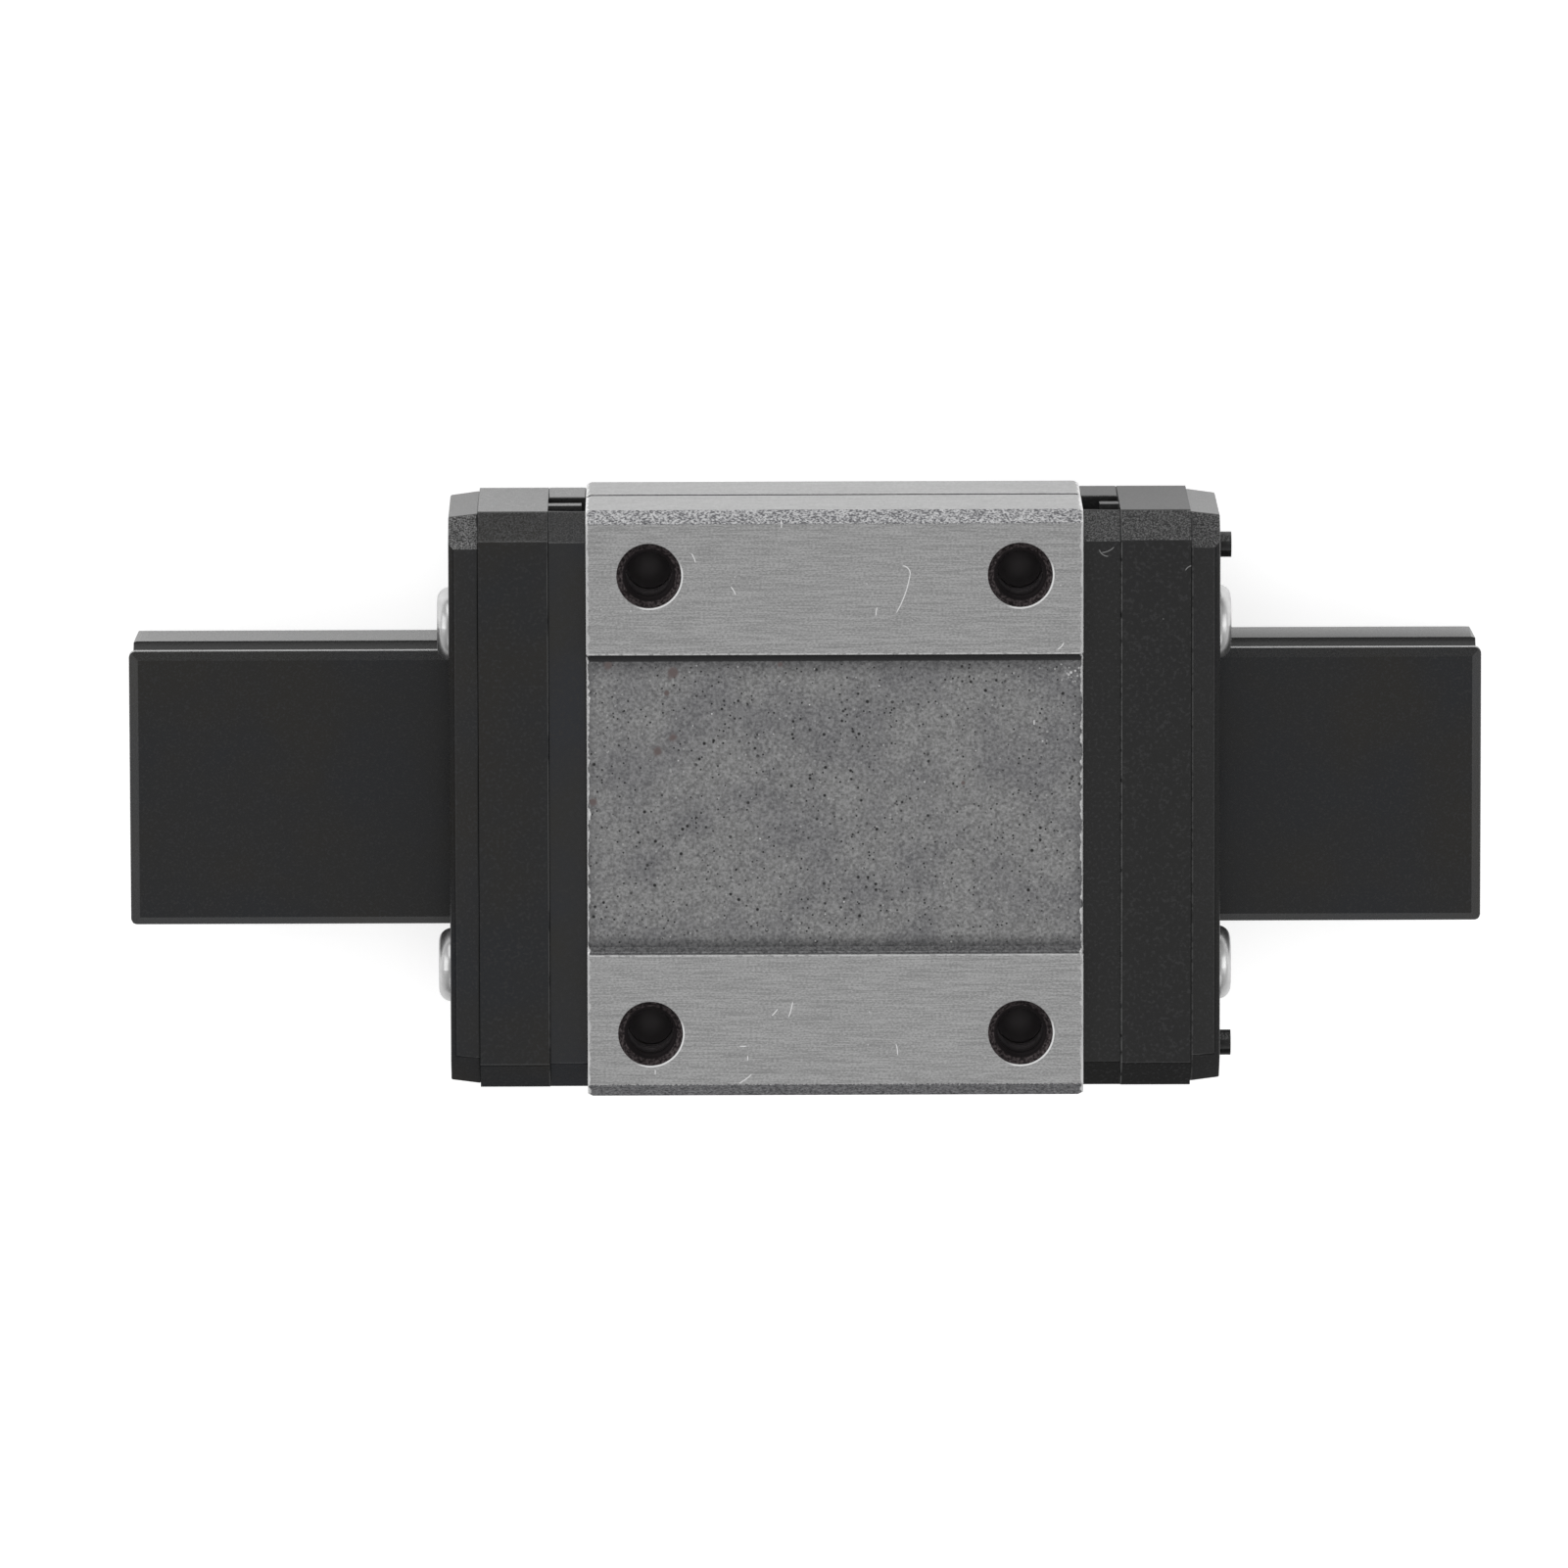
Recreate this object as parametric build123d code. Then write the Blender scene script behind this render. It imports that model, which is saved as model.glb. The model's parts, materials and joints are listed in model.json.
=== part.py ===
from build123d import *
import math
import os

# Miniature linear carriage on its plastic transport rail, in millimetres.
# +X runs along the rail, +Y is the rear side, +Z is up, and the origin is the
# middle of the rail's underside. The rail lies on the floor, and the carriage
# rides on it: a hardened steel block, and at each end a return guide, an end cap
# and a wiper seal, held by two screws. Two closed loops of balls run between the
# raceways, the turns in the end caps and the return bores in the block.

# Transport rail
rail_length = 73.4
rail_width = 15.0
rail_height = 8.4
rail_edge_chamfer = 0.45
rail_end_chamfer = 0.5
rail_end_lean = 0.3           # how far each end face leans in at the underside
rail_corner_radius = 0.35     # upright corners between the ends and the sides
rail_foot_chamfer = 0.25
relief_width = 0.9            # slot behind the raceway that clears the ball wire
relief_depth = 0.65

# Balls and raceways, on the rail and in the block
ball_diameter = 3.175
ball_drop = 2.62              # loaded balls' centres below the rail's top
ball_stand_off = 0.42         # ball centre outside the rail's side
raceway_clearance = 0.09      # raceway radius over ball radius
ball_gap = 0.06               # least gap between neighbours in a loop
ball_spread = 1.3             # widest spacing that the search tries, over the least
search_steps = 40             # halvings in each search along the loop

# Carriage as a whole
carriage_offset = 1.55        # carriage centre from the rail's centre, at rest
mounting_lift = 8.82          # mounting face above the loaded balls' centres
steel_rail_drop = 6.0         # top of the steel rail it is made for, below that face

# Steel block
block_length = 26.8
block_width = 32.0
block_height = 12.0
block_edge_chamfer = 0.65
block_foot_chamfer = 0.3
block_end_chamfer = 0.12
recess_width = 16.4           # unground middle of the top face
recess_depth = 0.43
channel_side_gap = 0.84       # block's inner wall from the rail's side
channel_top_gap = 0.7         # block's ceiling above the steel rail
channel_corner_radius = 0.5
mark_groove_lift = 5.5        # scribed line above the underside, on the rear side
mark_groove_width = 0.5
mark_groove_depth = 0.25

# Mounting holes, threaded M3
hole_spacing_x = 20.0
hole_spacing_y = 25.0
hole_tap_radius = 1.25
hole_mouth_radius = 1.77
hole_depth = 4.3
drill_point_angle = 118.0

# Ball return bores in the block
bore_clearance = 0.12         # bore radius over ball radius
bore_wall = 1.2               # steel between a return bore and the block's side
bore_lift = 0.3               # return bore above the loaded row

# Return guide, end cap and seal at each end
guide_thickness = 2.05
guide_inset = 0.08            # guide stands this much inside the cap's outline
cap_web = 0.5                 # cap wall outside the wire's slot
cap_side_inset = 0.25         # cap's sides inside the block's
cap_drop = 0.6                # cap's top below the mounting face
cap_lift = 0.4                # cap's underside above the block's
cap_chamfer = 1.45
cap_corner_radius = 0.25
cap_rail_gap = 0.3
seal_thickness = 1.6
seal_side_inset = 0.15        # seal's sides inside the cap's
seal_drop = 0.1               # seal's top below the cap's
seal_lift = 0.3               # seal's underside above the cap's
seal_chamfer = 1.7
seal_draft = 7.0
seal_face_chamfer = 0.3
seal_lip_gap = 0.12
seal_lip_thickness = 0.5
seal_plate_gap = 0.55

# Latch between end cap and return guide, one on each side
latch_edge = 0.25             # guide left above the latch window
latch_window = 5.3
latch_depth = 0.9
latch_gap = 0.25
latch_hook_lift = 1.3         # hook above the window's lower end
latch_hook_height = 1.0
latch_hook_thickness = 0.5

# Locating studs on the cap, through holes in the seal
stud_inset = 2.1              # stud's centre inside the cap's side
stud_drop = 2.8               # stud's centre below the cap's top
stud_radius = 0.69
stud_proud_right = 0.64
stud_proud_left = -0.1
stud_clearance = 0.06

# Cap screws, M2 pan head
screw_spacing = 18.7
screw_drop = 3.5              # screw's centre below the cap's top
screw_radius = 1.0
screw_clearance = 0.1
screw_thread_clearance = 0.03
screw_bite = 4.5              # thread length in the steel block
screw_tip_room = 0.5
screw_head_radius = 2.0
screw_head_height = 1.6
screw_head_round = 0.7        # rounding of the head's outer edge
screw_head_proud = 0.65
screw_pocket_gap = 0.15
cross_length = 2.1
cross_width = 0.42
cross_depth = 0.8

# Grease port in the middle of each end, closed by an M3 set screw
port_drop = 2.8               # port's centre below the cap's top
port_radius = 1.5
port_seal_radius = 1.9
plug_clearance = 0.03
plug_length = 2.4
plug_sunk = 0.3               # plug's outer end below the seal's face
plug_socket_width = 1.5
plug_socket_depth = 1.2
grease_groove_width = 0.7
grease_groove_depth = 0.6
grease_wall = 0.25            # left between the groove and a cap screw's hole
grease_turn_angle = 235       # where the groove leaves its way round that hole
grease_entry_side = 0.57      # groove's end outside the loaded row
grease_entry_lift = 1.54      # groove's end above the loaded row

# Ball wire, one for each loop, that keeps the loaded row in the block
wire_radius = 0.25
wire_ball_gap = 0.05
wire_leg = 3.9                # length of the bent-out ends
wire_bend_radius = 0.6
wire_slot_gap = 0.07
wire_wall = 0.45              # cap wall left between the turn and the wire's slot

# Heights, from the rail's underside up
ball_height = rail_height - ball_drop
carriage_top = ball_height + mounting_lift
guide_rail_top = carriage_top - steel_rail_drop
block_underside = carriage_top - block_height
channel_ceiling = guide_rail_top + channel_top_gap
mark_groove_height = block_underside + mark_groove_lift
cap_top = carriage_top - cap_drop
cap_underside = block_underside + cap_lift
seal_top = cap_top - seal_drop
seal_underside = cap_underside + seal_lift
latch_high = cap_top - cap_chamfer - latch_edge
latch_low = latch_high - latch_window
stud_height = cap_top - stud_drop
screw_height = cap_top - screw_drop
port_height = cap_top - port_drop

# Places across the rail
ball_radius = ball_diameter / 2
raceway_radius = ball_radius + raceway_clearance
bore_radius = ball_radius + bore_clearance
load_y = rail_width / 2 + ball_stand_off
return_y = block_width / 2 - bore_wall - bore_radius
return_z = ball_height + bore_lift
channel_half = rail_width / 2 + channel_side_gap
cap_width = block_width - 2 * cap_side_inset
seal_width = cap_width - 2 * seal_side_inset
stud_y = cap_width / 2 - stud_inset
screw_y = screw_spacing / 2
wire_y = load_y - ball_radius - wire_ball_gap - wire_radius
wire_slot_half = wire_radius + wire_slot_gap

# Places along the carriage, from its centre outwards
turn_radius = math.hypot(return_y - load_y, bore_lift) / 2
turn_tilt = math.atan2(bore_lift, return_y - load_y)
block_half = block_length / 2
guide_end = block_half + guide_thickness
wire_hook_x = block_half + turn_radius + bore_radius + wire_wall + wire_radius
cap_end = wire_hook_x + wire_slot_half + cap_web
seal_end = cap_end + seal_thickness
overshoot = 1.0               # how far a cutting tool runs past what it cuts
touch = 0.01                  # difference in place that is taken as none


def section(points):
    """Face on the YZ plane from points given as (y, z)."""
    return Plane.YZ * make_face(Polyline(*points, close=True))


def prism(face, low, high):
    """Solid of a YZ section between two places along the rail."""
    return Pos(low, 0, 0) * extrude(face, high - low, dir=(1, 0, 0))


def rod(radius, y, z, low, high):
    """Cylinder along the rail, centred on (y, z), between two places."""
    axis_start = Plane(origin=(low, y, z), z_dir=(1, 0, 0))
    return axis_start * Cylinder(radius, high - low, align=(Align.CENTER, Align.CENTER, Align.MIN))


def both_sides(shape):
    """The shape and its mirror image on the other side of the rail."""
    return shape + mirror(shape, Plane.XZ)


def chamfered_section(width, low, high, corner):
    """Outline of a cap or seal: flat sides and underside, chamfered top corners."""
    half = width / 2
    return section([
        (-half, low), (half, low), (half, high - corner),
        (half - corner, high), (corner - half, high), (-half, high - corner),
    ])


def rail_section(height, gap, with_raceway=True):
    """Rail outline grown by a gap, with the two raceways grown inwards to match."""
    half = rail_width / 2 + gap
    face = section([
        (-half, -overshoot), (half, -overshoot), (half, height + gap - rail_edge_chamfer),
        (half - rail_edge_chamfer, height + gap), (rail_edge_chamfer - half, height + gap),
        (-half, height + gap - rail_edge_chamfer),
    ])
    if with_raceway:
        for side in (-1, 1):
            circle = Circle(raceway_radius - gap)
            face -= Plane.YZ * Pos(side * load_y, ball_height) * circle
    return face


def rail_end_cut():
    """What is taken off the right end: the lean of its face and its top chamfer."""
    half = rail_length / 2
    lean_top = rail_height - rail_end_chamfer
    outside = Plane.XZ * make_face(Polyline(
        (half - rail_end_lean, 0), (half, lean_top), (half - rail_end_chamfer, rail_height),
        (half + overshoot, rail_height + overshoot), (half + overshoot, -overshoot),
        close=True,
    ))
    return extrude(outside, rail_width, both=True)


def transport_rail():
    """Moulded bar with a raceway in each side, and a slot behind it for the wire."""
    half = rail_length / 2
    plan = Rectangle(rail_length, rail_width)
    plan = fillet(plan.vertices(), rail_corner_radius)
    rail = extrude(plan, rail_height) & prism(rail_section(rail_height, 0), -half, half)
    slot_start = load_y - raceway_radius - relief_depth
    slot = Box(
        2 * rail_length, relief_depth + raceway_radius, relief_width,
        align=(Align.CENTER, Align.MIN, Align.CENTER),
    )
    rail -= both_sides(Pos(0, slot_start, ball_height) * slot)
    end_cut = rail_end_cut()
    rail -= end_cut + mirror(end_cut, Plane.YZ)
    feet = rail.faces().sort_by(Axis.Z)[0].edges().filter_by(Axis.X)
    return chamfer(feet, rail_foot_chamfer)


def block_section():
    """Block outline: chamfered top, unground middle, and the channel for the rail."""
    half = block_width / 2
    recess_half = recess_width / 2
    floor = carriage_top - recess_depth
    outline = section([
        (-half + block_foot_chamfer, block_underside),
        (half - block_foot_chamfer, block_underside),
        (half, block_underside + block_foot_chamfer),
        (half, carriage_top - block_edge_chamfer),
        (half - block_edge_chamfer, carriage_top),
        (recess_half, carriage_top),
        (recess_half - recess_depth, floor),
        (recess_depth - recess_half, floor),
        (-recess_half, carriage_top),
        (block_edge_chamfer - half, carriage_top),
        (-half, carriage_top - block_edge_chamfer),
        (-half, block_underside + block_foot_chamfer),
    ])
    channel_height = channel_ceiling + overshoot
    channel = RectangleRounded(2 * channel_half, 2 * channel_height, channel_corner_radius)
    outline -= Plane.YZ * Pos(0, channel_ceiling - channel_height) * channel
    for side in (-1, 1):
        outline -= Plane.YZ * Pos(side * load_y, ball_height) * Circle(raceway_radius)
        outline -= Plane.YZ * Pos(side * return_y, return_z) * Circle(bore_radius)
    return outline


def mounting_hole():
    """Tapped hole from the top face, at the origin: bore, drill point and countersink."""
    point = hole_tap_radius / math.tan(math.radians(drill_point_angle / 2))
    mouth = hole_mouth_radius - hole_tap_radius
    profile = Plane.XZ * make_face(Polyline(
        (0, overshoot), (hole_mouth_radius + overshoot, overshoot), (hole_tap_radius, -mouth),
        (hole_tap_radius, -hole_depth), (0, -hole_depth - point), close=True,
    ))
    return revolve(profile, Axis.Z)


def carriage_block():
    """Hardened steel block with its raceways, return bores and tapped holes."""
    block = prism(block_section(), -block_half, block_half)
    ends = block.faces().filter_by(Axis.X)
    outer = [
        edge for edge in ends.edges()
        if edge.center().Z > channel_ceiling or abs(edge.center().Y) > block_width / 2 - block_edge_chamfer
    ]
    block = chamfer(outer, block_end_chamfer)
    holes = GridLocations(hole_spacing_x, hole_spacing_y, 2, 2)
    block -= [Pos(0, 0, carriage_top) * place * mounting_hole() for place in holes]
    screw_hole_depth = screw_bite + screw_tip_room
    for side in (-1, 1):
        for end in (-1, 1):
            low, high = sorted((end * (block_half - screw_hole_depth), end * (block_half + overshoot)))
            block -= rod(screw_radius + screw_thread_clearance, side * screw_y, screw_height, low, high)
    half = mark_groove_width / 2
    groove = section([
        (block_width / 2 + mark_groove_depth, mark_groove_height - 2 * half),
        (block_width / 2 + mark_groove_depth, mark_groove_height + 2 * half),
        (block_width / 2 - mark_groove_depth, mark_groove_height),
    ])
    return block - prism(groove, -block_length, block_length)


def turn_cavity():
    """Ball turn at the right end: a ring about the middle between row and bore."""
    middle = (block_half, (load_y + return_y) / 2, (ball_height + return_z) / 2)
    loop_plane = Plane(origin=middle, x_dir=(1, 0, 0), z_dir=(0, -math.sin(turn_tilt), math.cos(turn_tilt)))
    return both_sides(loop_plane * Torus(turn_radius, bore_radius))


def screw_holes(radius, low, high):
    """Two holes for the cap screws."""
    return both_sides(rod(radius, screw_y, screw_height, low, high))


def return_guide():
    """Inner plate of the right end, against the block, with the first part of the turns."""
    outline = chamfered_section(
        cap_width - 2 * guide_inset, cap_underside + guide_inset, cap_top - guide_inset, cap_chamfer
    )
    guide = prism(outline, block_half, guide_end)
    guide -= prism(rail_section(guide_rail_top, cap_rail_gap, with_raceway=False), block_half, guide_end)
    guide -= turn_cavity()
    guide -= screw_holes(screw_radius + screw_clearance, block_half, guide_end)
    window = Box(
        guide_thickness, latch_depth + overshoot, latch_high - latch_low,
        align=(Align.MIN, Align.MIN, Align.MIN),
    )
    return guide - both_sides(Pos(block_half, cap_width / 2 - latch_depth, latch_low) * window)


def grease_groove():
    """Shallow channels from the grease port, round the screw holes, to the ball turns."""
    keep_off = screw_radius + screw_clearance + grease_wall + grease_groove_width / 2
    start = 180 - math.degrees(math.asin((port_height - screw_height) / keep_off))
    bend = CenterArc((screw_y, screw_height), keep_off, start, grease_turn_angle - start)
    into_turn = (load_y + grease_entry_side, ball_height + grease_entry_lift)
    line = Line((port_radius / 2, port_height), bend @ 0) + bend + Line(bend @ 1, into_turn)
    path = Plane.YZ * trace(line, grease_groove_width)
    return both_sides(prism(path, guide_end, guide_end + grease_groove_depth))


def end_cap(stud_proud):
    """Outer cap of the right end, with the turns, latches, studs and grease port."""
    cap = prism(chamfered_section(cap_width, cap_underside, cap_top, cap_chamfer), guide_end, cap_end)
    cap -= prism(rail_section(guide_rail_top, cap_rail_gap), guide_end, cap_end)
    long_edges = cap.edges().filter_by(Axis.X)
    outer = [edge for edge in long_edges if abs(edge.center().Y) > cap_width / 2 - cap_chamfer - touch]
    cap = fillet(outer, cap_corner_radius)
    cap -= turn_cavity()
    cap -= screw_holes(screw_radius + screw_clearance, guide_end, cap_end)
    cap -= rod(port_radius, 0, port_height, guide_end, cap_end)
    cap -= grease_groove()
    slot_start = load_y - raceway_radius
    slot = Box(
        cap_end - wire_hook_x + wire_slot_half, wire_y + wire_leg + wire_slot_gap - slot_start,
        2 * wire_slot_half, align=(Align.MAX, Align.MIN, Align.CENTER),
    )
    cap -= both_sides(Pos(cap_end, slot_start, ball_height) * slot)
    cap += both_sides(rod(stud_radius, stud_y, stud_height, cap_end, seal_end + stud_proud))
    return cap + both_sides(latch_hook())


def latch_hook():
    """Hook of the end cap that lies in the return guide's side window."""
    inner = cap_width / 2 - latch_depth + latch_gap
    reach = guide_thickness - latch_gap
    hook = Box(
        reach, latch_hook_thickness, latch_hook_height,
        align=(Align.MAX, Align.MIN, Align.MIN),
    )
    return Pos(guide_end, inner, latch_low + latch_hook_lift) * hook


def end_seal():
    """Wiper seal of the right end: a drafted plate whose lip follows the rail."""
    outline = chamfered_section(seal_width, seal_underside, seal_top, seal_chamfer)
    seal = Pos(cap_end, 0, 0) * extrude(outline, seal_thickness, dir=(1, 0, 0), taper=seal_draft)
    top_edge = seal.faces().sort_by(Axis.X)[-1].edges().filter_by(Axis.Y).sort_by(Axis.Z)[-1]
    seal = chamfer(top_edge, seal_face_chamfer)
    lip_start = seal_end - seal_lip_thickness
    seal -= prism(rail_section(guide_rail_top, seal_plate_gap), cap_end, lip_start)
    seal -= prism(rail_section(guide_rail_top, seal_lip_gap), lip_start, seal_end)
    pocket_depth = screw_head_height - screw_head_proud
    seal -= screw_holes(screw_head_radius + screw_pocket_gap, seal_end - pocket_depth, seal_end)
    seal -= screw_holes(screw_radius + screw_clearance, cap_end, seal_end)
    seal -= both_sides(rod(stud_radius + stud_clearance, stud_y, stud_height, cap_end, seal_end))
    return seal - rod(port_seal_radius, 0, port_height, cap_end, seal_end)


def cap_screw():
    """Pan-head screw at the right rear, with a cross recess."""
    seat = seal_end - screw_head_height + screw_head_proud
    head_end = seat + screw_head_height
    head = rod(screw_head_radius, 0, 0, seat, head_end)
    screw = fillet(head.edges().sort_by(Axis.X)[-1], screw_head_round)
    for turned in (0, 90):
        blade = Rot(turned, 0, 0) * Box(
            cross_depth, cross_length, cross_width, align=(Align.MAX, Align.CENTER, Align.CENTER)
        )
        screw -= Pos(head_end, 0, 0) * blade
    screw += rod(screw_radius, 0, 0, block_half - screw_bite, seat)
    return Pos(0, screw_y, screw_height) * screw


def grease_plug():
    """Set screw in the right end's grease port."""
    outer = seal_end - plug_sunk
    plug = rod(port_radius - plug_clearance, 0, port_height, outer - plug_length, outer)
    socket = Plane.YZ * Pos(0, port_height) * RegularPolygon(plug_socket_width / 2, 6, major_radius=False)
    return plug - prism(socket, outer - plug_socket_depth, outer)


def ball_wire():
    """Wire of the rear loop: straight past the loaded balls, bent out at both ends."""
    path = FilletPolyline(
        (-wire_hook_x, wire_y + wire_leg, ball_height),
        (-wire_hook_x, wire_y, ball_height),
        (wire_hook_x, wire_y, ball_height),
        (wire_hook_x, wire_y + wire_leg, ball_height),
        radius=wire_bend_radius,
    )
    start = Plane(origin=path @ 0, z_dir=path % 0)
    return sweep(start * Circle(wire_radius), path=path)


def loop_point(distance):
    """Centre of a ball at a distance along the rear loop, from the loaded row's middle."""
    straight = block_length
    turn = math.pi * turn_radius
    lap = 2 * (straight + turn)
    along = (distance + straight / 2) % lap
    if along < straight:
        x, across = along - block_half, -turn_radius
    elif along < straight + turn:
        angle = (along - straight) / turn_radius
        x, across = block_half + turn_radius * math.sin(angle), -turn_radius * math.cos(angle)
    elif along < 2 * straight + turn:
        x, across = block_half - (along - straight - turn), turn_radius
    else:
        angle = (along - 2 * straight - turn) / turn_radius
        x, across = -block_half - turn_radius * math.sin(angle), turn_radius * math.cos(angle)
    y = (load_y + return_y) / 2 + across * math.cos(turn_tilt)
    z = (ball_height + return_z) / 2 + across * math.sin(turn_tilt)
    return Vector(x, y, z)


def next_place(place, spacing):
    """Distance along the loop whose point lies a straight spacing from a given place."""
    low, high = place + spacing, place + spacing * math.pi / 2
    for _ in range(search_steps):
        middle = (low + high) / 2
        if (loop_point(middle) - loop_point(place)).length < spacing:
            low = middle
        else:
            high = middle
    return (low + high) / 2


def places_with(spacing):
    """Places along the loop, one straight spacing apart, that fit in one lap."""
    lap = 2 * (block_length + math.pi * turn_radius)
    places = [0.0]
    while next_place(places[-1], spacing) <= lap:
        places.append(next_place(places[-1], spacing))
    return places, lap


def ball_loop():
    """Rear loop of balls: as many as fit, spread evenly round it."""
    least = ball_diameter + ball_gap
    count = len(places_with(least)[0]) - 1
    low, high = least, least * ball_spread
    for _ in range(search_steps):
        middle = (low + high) / 2
        if len(places_with(middle)[0]) > count:
            low = middle
        else:
            high = middle
    places = places_with(low)[0][:count]
    return [Pos(*loop_point(place)) * Sphere(ball_radius) for place in places]


def save(name, shape):
    """Writes one piece to its own file."""
    solids = [solid for item in (shape if isinstance(shape, list) else [shape]) for solid in item.solids()]
    export_step(solids[0] if len(solids) == 1 else Compound(children=solids), f"parts/{name}.step")


def save_end(name, right, left=None):
    """Writes a right-end piece and its left-end twin, both on the carriage."""
    at_rest = Pos(carriage_offset, 0, 0)
    save(f"{name}_right", at_rest * right)
    save(f"{name}_left", at_rest * mirror(left or right, Plane.YZ))


def main():
    """Builds every piece and writes it where it lies at rest."""
    os.makedirs("parts", exist_ok=True)
    at_rest = Pos(carriage_offset, 0, 0)
    save("transport_rail", transport_rail())
    save("carriage_block", at_rest * carriage_block())
    save_end("return_guide", return_guide())
    save_end("end_cap", end_cap(stud_proud_right), end_cap(stud_proud_left))
    save_end("end_seal", end_seal())
    save_end("cap_screw_rear", cap_screw())
    save_end("cap_screw_front", mirror(cap_screw(), Plane.XZ))
    save_end("grease_plug", grease_plug())
    wire = at_rest * ball_wire()
    save("ball_wire_rear", wire)
    save("ball_wire_front", mirror(wire, Plane.XZ))
    balls = [at_rest * ball for ball in ball_loop()]
    save("balls_rear", balls)
    save("balls_front", [mirror(ball, Plane.XZ) for ball in balls])


main()
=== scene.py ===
"""Miniature linear carriage on its transport rail: finishes, threads, marks, light and camera."""

import json
import logging
import math
from dataclasses import dataclass, field
from enum import Enum
from functools import cached_property

import bmesh
import bpy
from bmesh.types import BMEdge, BMesh
from bpy.types import Material, Node, NodeSocket, NodeTree, Object
from mathutils import Matrix, Vector

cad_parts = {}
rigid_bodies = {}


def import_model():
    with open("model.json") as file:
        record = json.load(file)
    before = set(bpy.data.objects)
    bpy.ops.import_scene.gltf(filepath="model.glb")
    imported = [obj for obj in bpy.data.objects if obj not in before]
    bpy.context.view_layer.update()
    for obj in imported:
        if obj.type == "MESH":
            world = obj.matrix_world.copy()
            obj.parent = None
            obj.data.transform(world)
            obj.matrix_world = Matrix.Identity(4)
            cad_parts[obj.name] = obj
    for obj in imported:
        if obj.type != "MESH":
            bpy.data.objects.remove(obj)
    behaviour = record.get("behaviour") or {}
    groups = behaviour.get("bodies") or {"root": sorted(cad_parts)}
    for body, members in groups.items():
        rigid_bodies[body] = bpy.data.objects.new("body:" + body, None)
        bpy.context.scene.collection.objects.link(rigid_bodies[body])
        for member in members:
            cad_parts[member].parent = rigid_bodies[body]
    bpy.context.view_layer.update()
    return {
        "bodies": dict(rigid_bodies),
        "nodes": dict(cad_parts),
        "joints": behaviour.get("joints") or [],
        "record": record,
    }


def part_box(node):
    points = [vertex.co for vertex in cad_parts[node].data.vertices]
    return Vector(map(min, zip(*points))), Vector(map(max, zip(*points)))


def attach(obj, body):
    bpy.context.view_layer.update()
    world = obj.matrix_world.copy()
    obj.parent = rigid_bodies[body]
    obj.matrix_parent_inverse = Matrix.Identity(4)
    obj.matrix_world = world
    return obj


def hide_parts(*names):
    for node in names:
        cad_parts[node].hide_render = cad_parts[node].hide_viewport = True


logger = logging.getLogger("linear_carriage")

MM = 0.001
CARRIAGE_X_MM = 1.55
HOLE_SPACING_MM = (20.0, 25.0)
WELD_MM = 0.0001
HAIRLINE_MM = 0.05
HOOK_SIDE_MM = 14.6
HOOK_TIP_MM = 15.5
SIDE_DEPTH_MM = 0.4
PLAIN_SPECULAR = 0.5
FLAT_ANGLE = math.radians(0.5)
ARRIS_ANGLE = math.radians(25)
WIDEST_ARRIS_ANGLE = math.radians(125)
SHARP_ANGLE = math.radians(35)

Triple = tuple[float, float, float]
Arc = tuple[float, float, float, float, float, float]


class Side(Enum):
    """One of two opposite sides of the carriage."""

    @property
    def word(self) -> str:
        """The side's name in node names."""
        return self.name.lower()


class End(Side):
    """The two ends of the carriage, with their direction along X."""

    LEFT = -1
    RIGHT = 1


class Row(Side):
    """The two sides of the rail, with their direction along Y."""

    FRONT = -1
    REAR = 1


def linear(hex_colour: str) -> tuple[float, float, float, float]:
    """Turns an sRGB hex colour into linear red, green, blue and alpha.

    Args:
        hex_colour: Six hex digits, such as "8a8a8a".

    Returns:
        The linear colour, with alpha 1.
    """
    channels = [int(hex_colour[place:place + 2], 16) / 255 for place in (0, 2, 4)]
    curve = [c / 12.92 if c <= 0.04045 else ((c + 0.055) / 1.055) ** 2.4 for c in channels]
    return (*curve, 1.0)


def add_node(tree: NodeTree, kind: str, inputs: dict | None = None, **options: str | int) -> Node:
    """Adds one node with its settings and inputs.

    Args:
        tree: Node tree that gets the node.
        kind: Blender's name of the node type, without its first part.
        inputs: For each input, by name or number, its value or the output that feeds it.
        options: Attributes of the node itself, such as its operation.

    Returns:
        The new node.
    """
    node = tree.nodes.new(f"ShaderNode{kind}")
    for name, value in options.items():
        setattr(node, name, value)
    for name, value in (inputs or {}).items():
        if isinstance(value, NodeSocket):
            tree.links.new(value, node.inputs[name])
        else:
            node.inputs[name].default_value = value
    return node


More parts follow.
